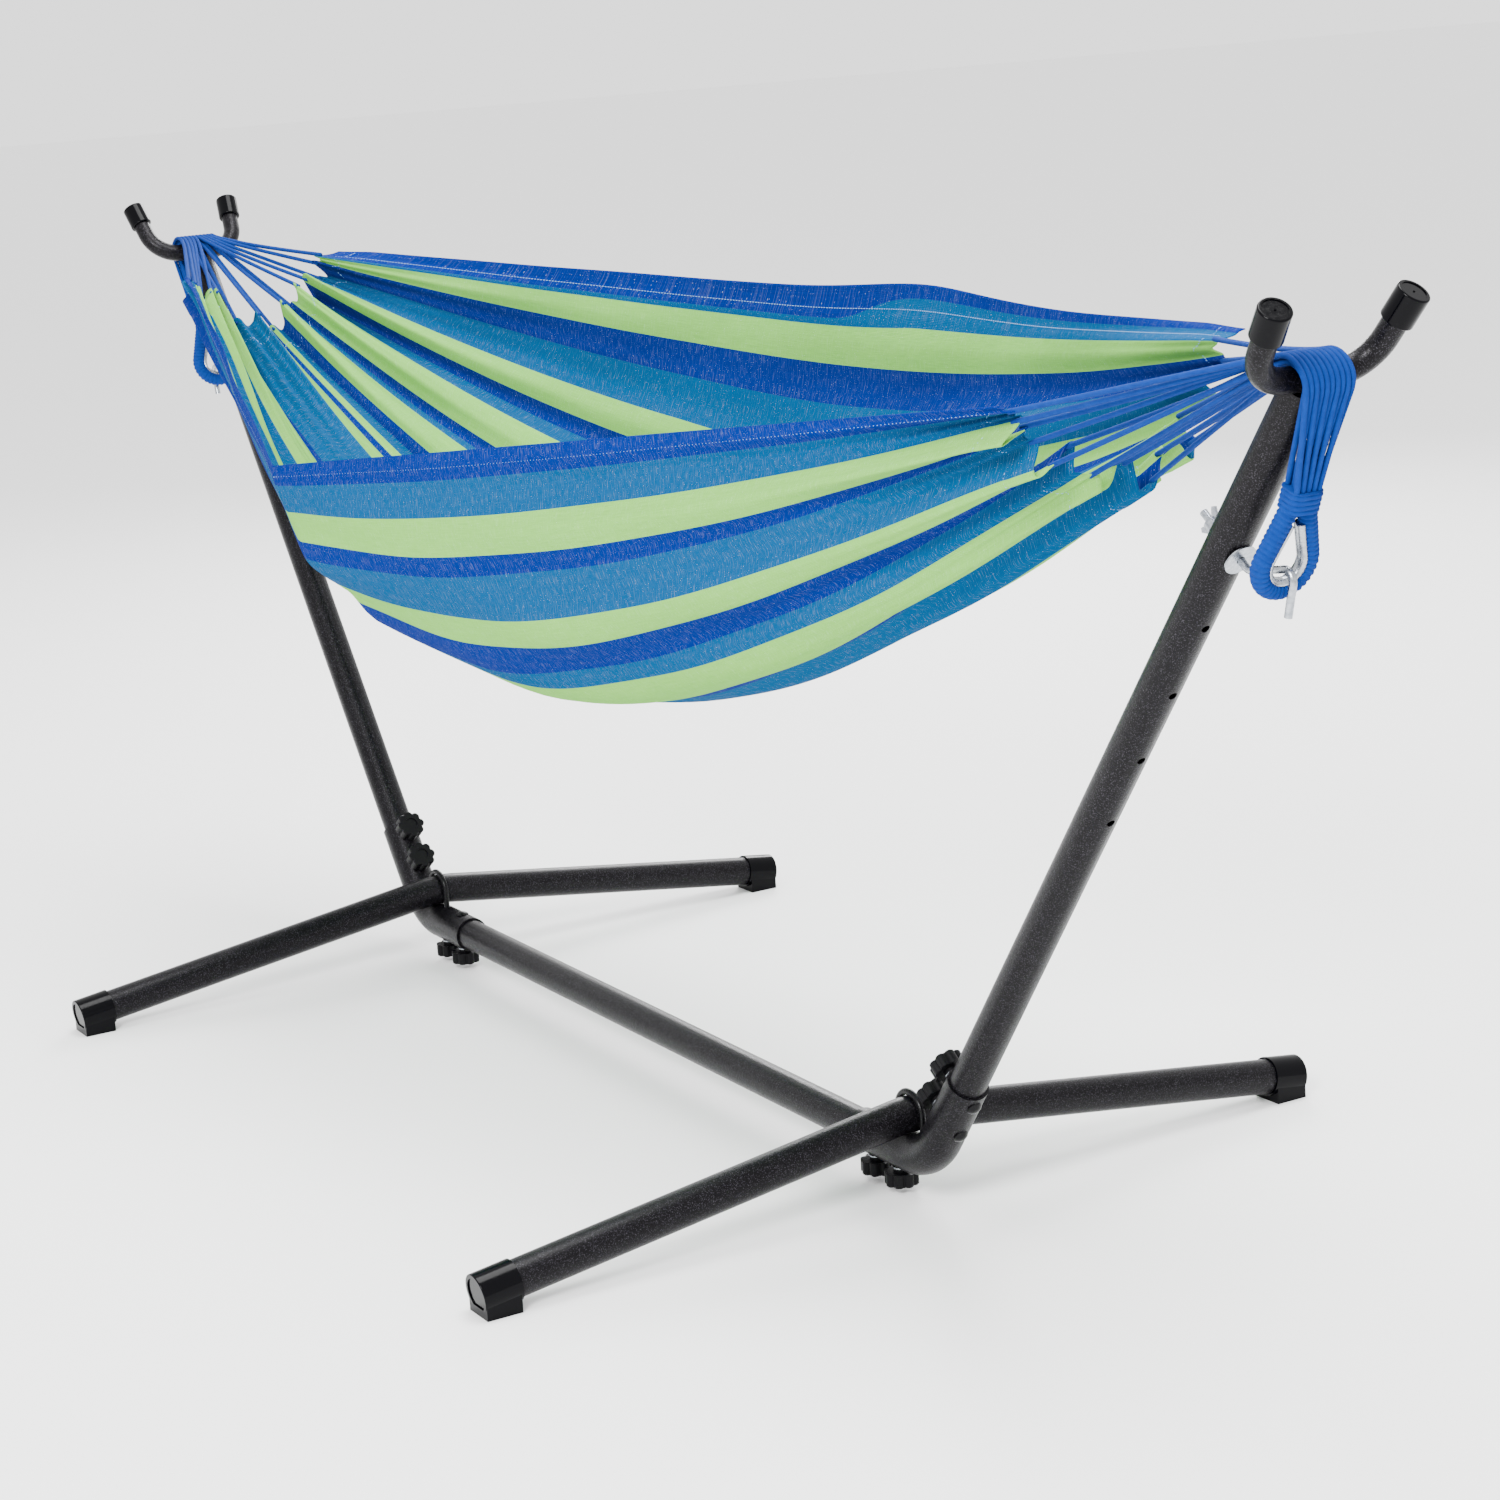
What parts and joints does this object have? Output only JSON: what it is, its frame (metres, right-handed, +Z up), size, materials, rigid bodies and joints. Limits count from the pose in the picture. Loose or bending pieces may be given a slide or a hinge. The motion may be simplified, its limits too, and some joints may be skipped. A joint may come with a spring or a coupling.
{
  "type": "hammock on stand",
  "caption": "Striped cloth hammock slung by clew cords between the forks of a free-standing steel tube stand with arched feet.",
  "frame": {"origin": "on the floor under the middle of the stand", "axes": "+X along the hammock, +Y across it, +Z up"},
  "size_m": [2.8354, 1.11, 1.0701],
  "materials": {
    "frame_paint": "charcoal hammertone powder coat, semi-gloss",
    "cap_plastic": "glossy black",
    "knob_plastic": "matte black",
    "black_steel": "black oxide, glossy",
    "zinc_steel": "bright zinc plate",
    "cord_cotton": "braided blue cotton",
    "cloth": "woven cotton twill in blue, azure and light green stripes"
  },
  "bodies": {
    "stand": {"centre_bar": "frame_paint", "centre_bar_bolt_a": "black_steel", "centre_bar_bolt_b": "black_steel", "clamp_hook_a": "black_steel", "clamp_hook_b": "black_steel", "elbow_sleeve_a": "frame_paint", "elbow_sleeve_b": "frame_paint", "foot_bar_a": "frame_paint", "foot_bar_b": "frame_paint", "foot_cap_a_front": "cap_plastic", "foot_cap_a_rear": "cap_plastic", "foot_cap_b_front": "cap_plastic", "foot_cap_b_rear": "cap_plastic", "fork_a": "frame_paint", "fork_b": "frame_paint", "fork_cap_a_front": "cap_plastic", "fork_cap_a_rear": "cap_plastic", "fork_cap_b_front": "cap_plastic", "fork_cap_b_rear": "cap_plastic", "hanger_hook_a": "zinc_steel", "hanger_hook_b": "zinc_steel", "hook_washer_a": "zinc_steel", "hook_washer_b": "zinc_steel", "knob_washers_a": "zinc_steel", "knob_washers_b": "zinc_steel", "tail_cords_a": "cord_cotton", "tail_cords_b": "cord_cotton", "thimble_a": "zinc_steel", "thimble_b": "zinc_steel", "upright_a": "frame_paint", "upright_b": "frame_paint", "upright_bolts_a": "black_steel", "upright_bolts_b": "black_steel", "whipping_a": "cord_cotton", "whipping_b": "cord_cotton", "wrapped_eye_a": "cord_cotton", "wrapped_eye_b": "cord_cotton"},
    "hammock": {"hammock_bed": "cloth", "clew_cords_a": "cord_cotton", "clew_cords_b": "cord_cotton"},
    "knob_a_upright_low": {"knob_a_upright_low": "knob_plastic"},
    "knob_a_upright_high": {"knob_a_upright_high": "knob_plastic"},
    "knob_a_centre_bar": {"knob_a_centre_bar": "knob_plastic"},
    "knob_a_foot_bar": {"knob_a_foot_bar": "knob_plastic"},
    "wing_nut_a": {"wing_nut_a": "zinc_steel"},
    "knob_b_upright_low": {"knob_b_upright_low": "knob_plastic"},
    "knob_b_upright_high": {"knob_b_upright_high": "knob_plastic"},
    "knob_b_centre_bar": {"knob_b_centre_bar": "knob_plastic"},
    "knob_b_foot_bar": {"knob_b_foot_bar": "knob_plastic"},
    "wing_nut_b": {"wing_nut_b": "zinc_steel"}
  },
  "joints": [
    {"name": "hammock_swing", "type": "hinge", "parent": "stand", "child": "hammock", "pos_m": [0, 0, 1.0045], "axis": [1, 0, 0], "range_deg": [-25, 25]},
    {"name": "knob_a_upright_low_turn", "type": "hinge", "parent": "stand", "child": "knob_a_upright_low", "pos_m": [0.70521, 0, 0.11479], "axis": [-0.8039, 0, 0.5948], "continuous": true},
    {"name": "knob_a_upright_high_turn", "type": "hinge", "parent": "stand", "child": "knob_a_upright_high", "pos_m": [0.73495, 0, 0.15499], "axis": [-0.8039, 0, 0.5948], "continuous": true},
    {"name": "knob_a_centre_bar_turn", "type": "hinge", "parent": "stand", "child": "knob_a_centre_bar", "pos_m": [0.546, 0, 0.0537], "axis": [0, 0, -1], "continuous": true},
    {"name": "knob_a_foot_bar_turn", "type": "hinge", "parent": "stand", "child": "knob_a_foot_bar", "pos_m": [0.5967, 0, 0.0537], "axis": [0, 0, -1], "continuous": true},
    {"name": "wing_nut_a_turn", "type": "hinge", "parent": "stand", "child": "wing_nut_a", "pos_m": [1.22954, 0, 0.82339], "axis": [-0.8039, 0, 0.5948], "continuous": true},
    {"name": "knob_b_upright_low_turn", "type": "hinge", "parent": "stand", "child": "knob_b_upright_low", "pos_m": [-0.70521, 0, 0.11479], "axis": [0.8039, 0, 0.5948], "continuous": true},
    {"name": "knob_b_upright_high_turn", "type": "hinge", "parent": "stand", "child": "knob_b_upright_high", "pos_m": [-0.73495, 0, 0.15499], "axis": [0.8039, 0, 0.5948], "continuous": true},
    {"name": "knob_b_centre_bar_turn", "type": "hinge", "parent": "stand", "child": "knob_b_centre_bar", "pos_m": [-0.546, 0, 0.0537], "axis": [0, 0, -1], "continuous": true},
    {"name": "knob_b_foot_bar_turn", "type": "hinge", "parent": "stand", "child": "knob_b_foot_bar", "pos_m": [-0.5967, 0, 0.0537], "axis": [0, 0, -1], "continuous": true},
    {"name": "wing_nut_b_turn", "type": "hinge", "parent": "stand", "child": "wing_nut_b", "pos_m": [-1.22954, 0, 0.82339], "axis": [0.8039, 0, 0.5948], "continuous": true}
  ]
}
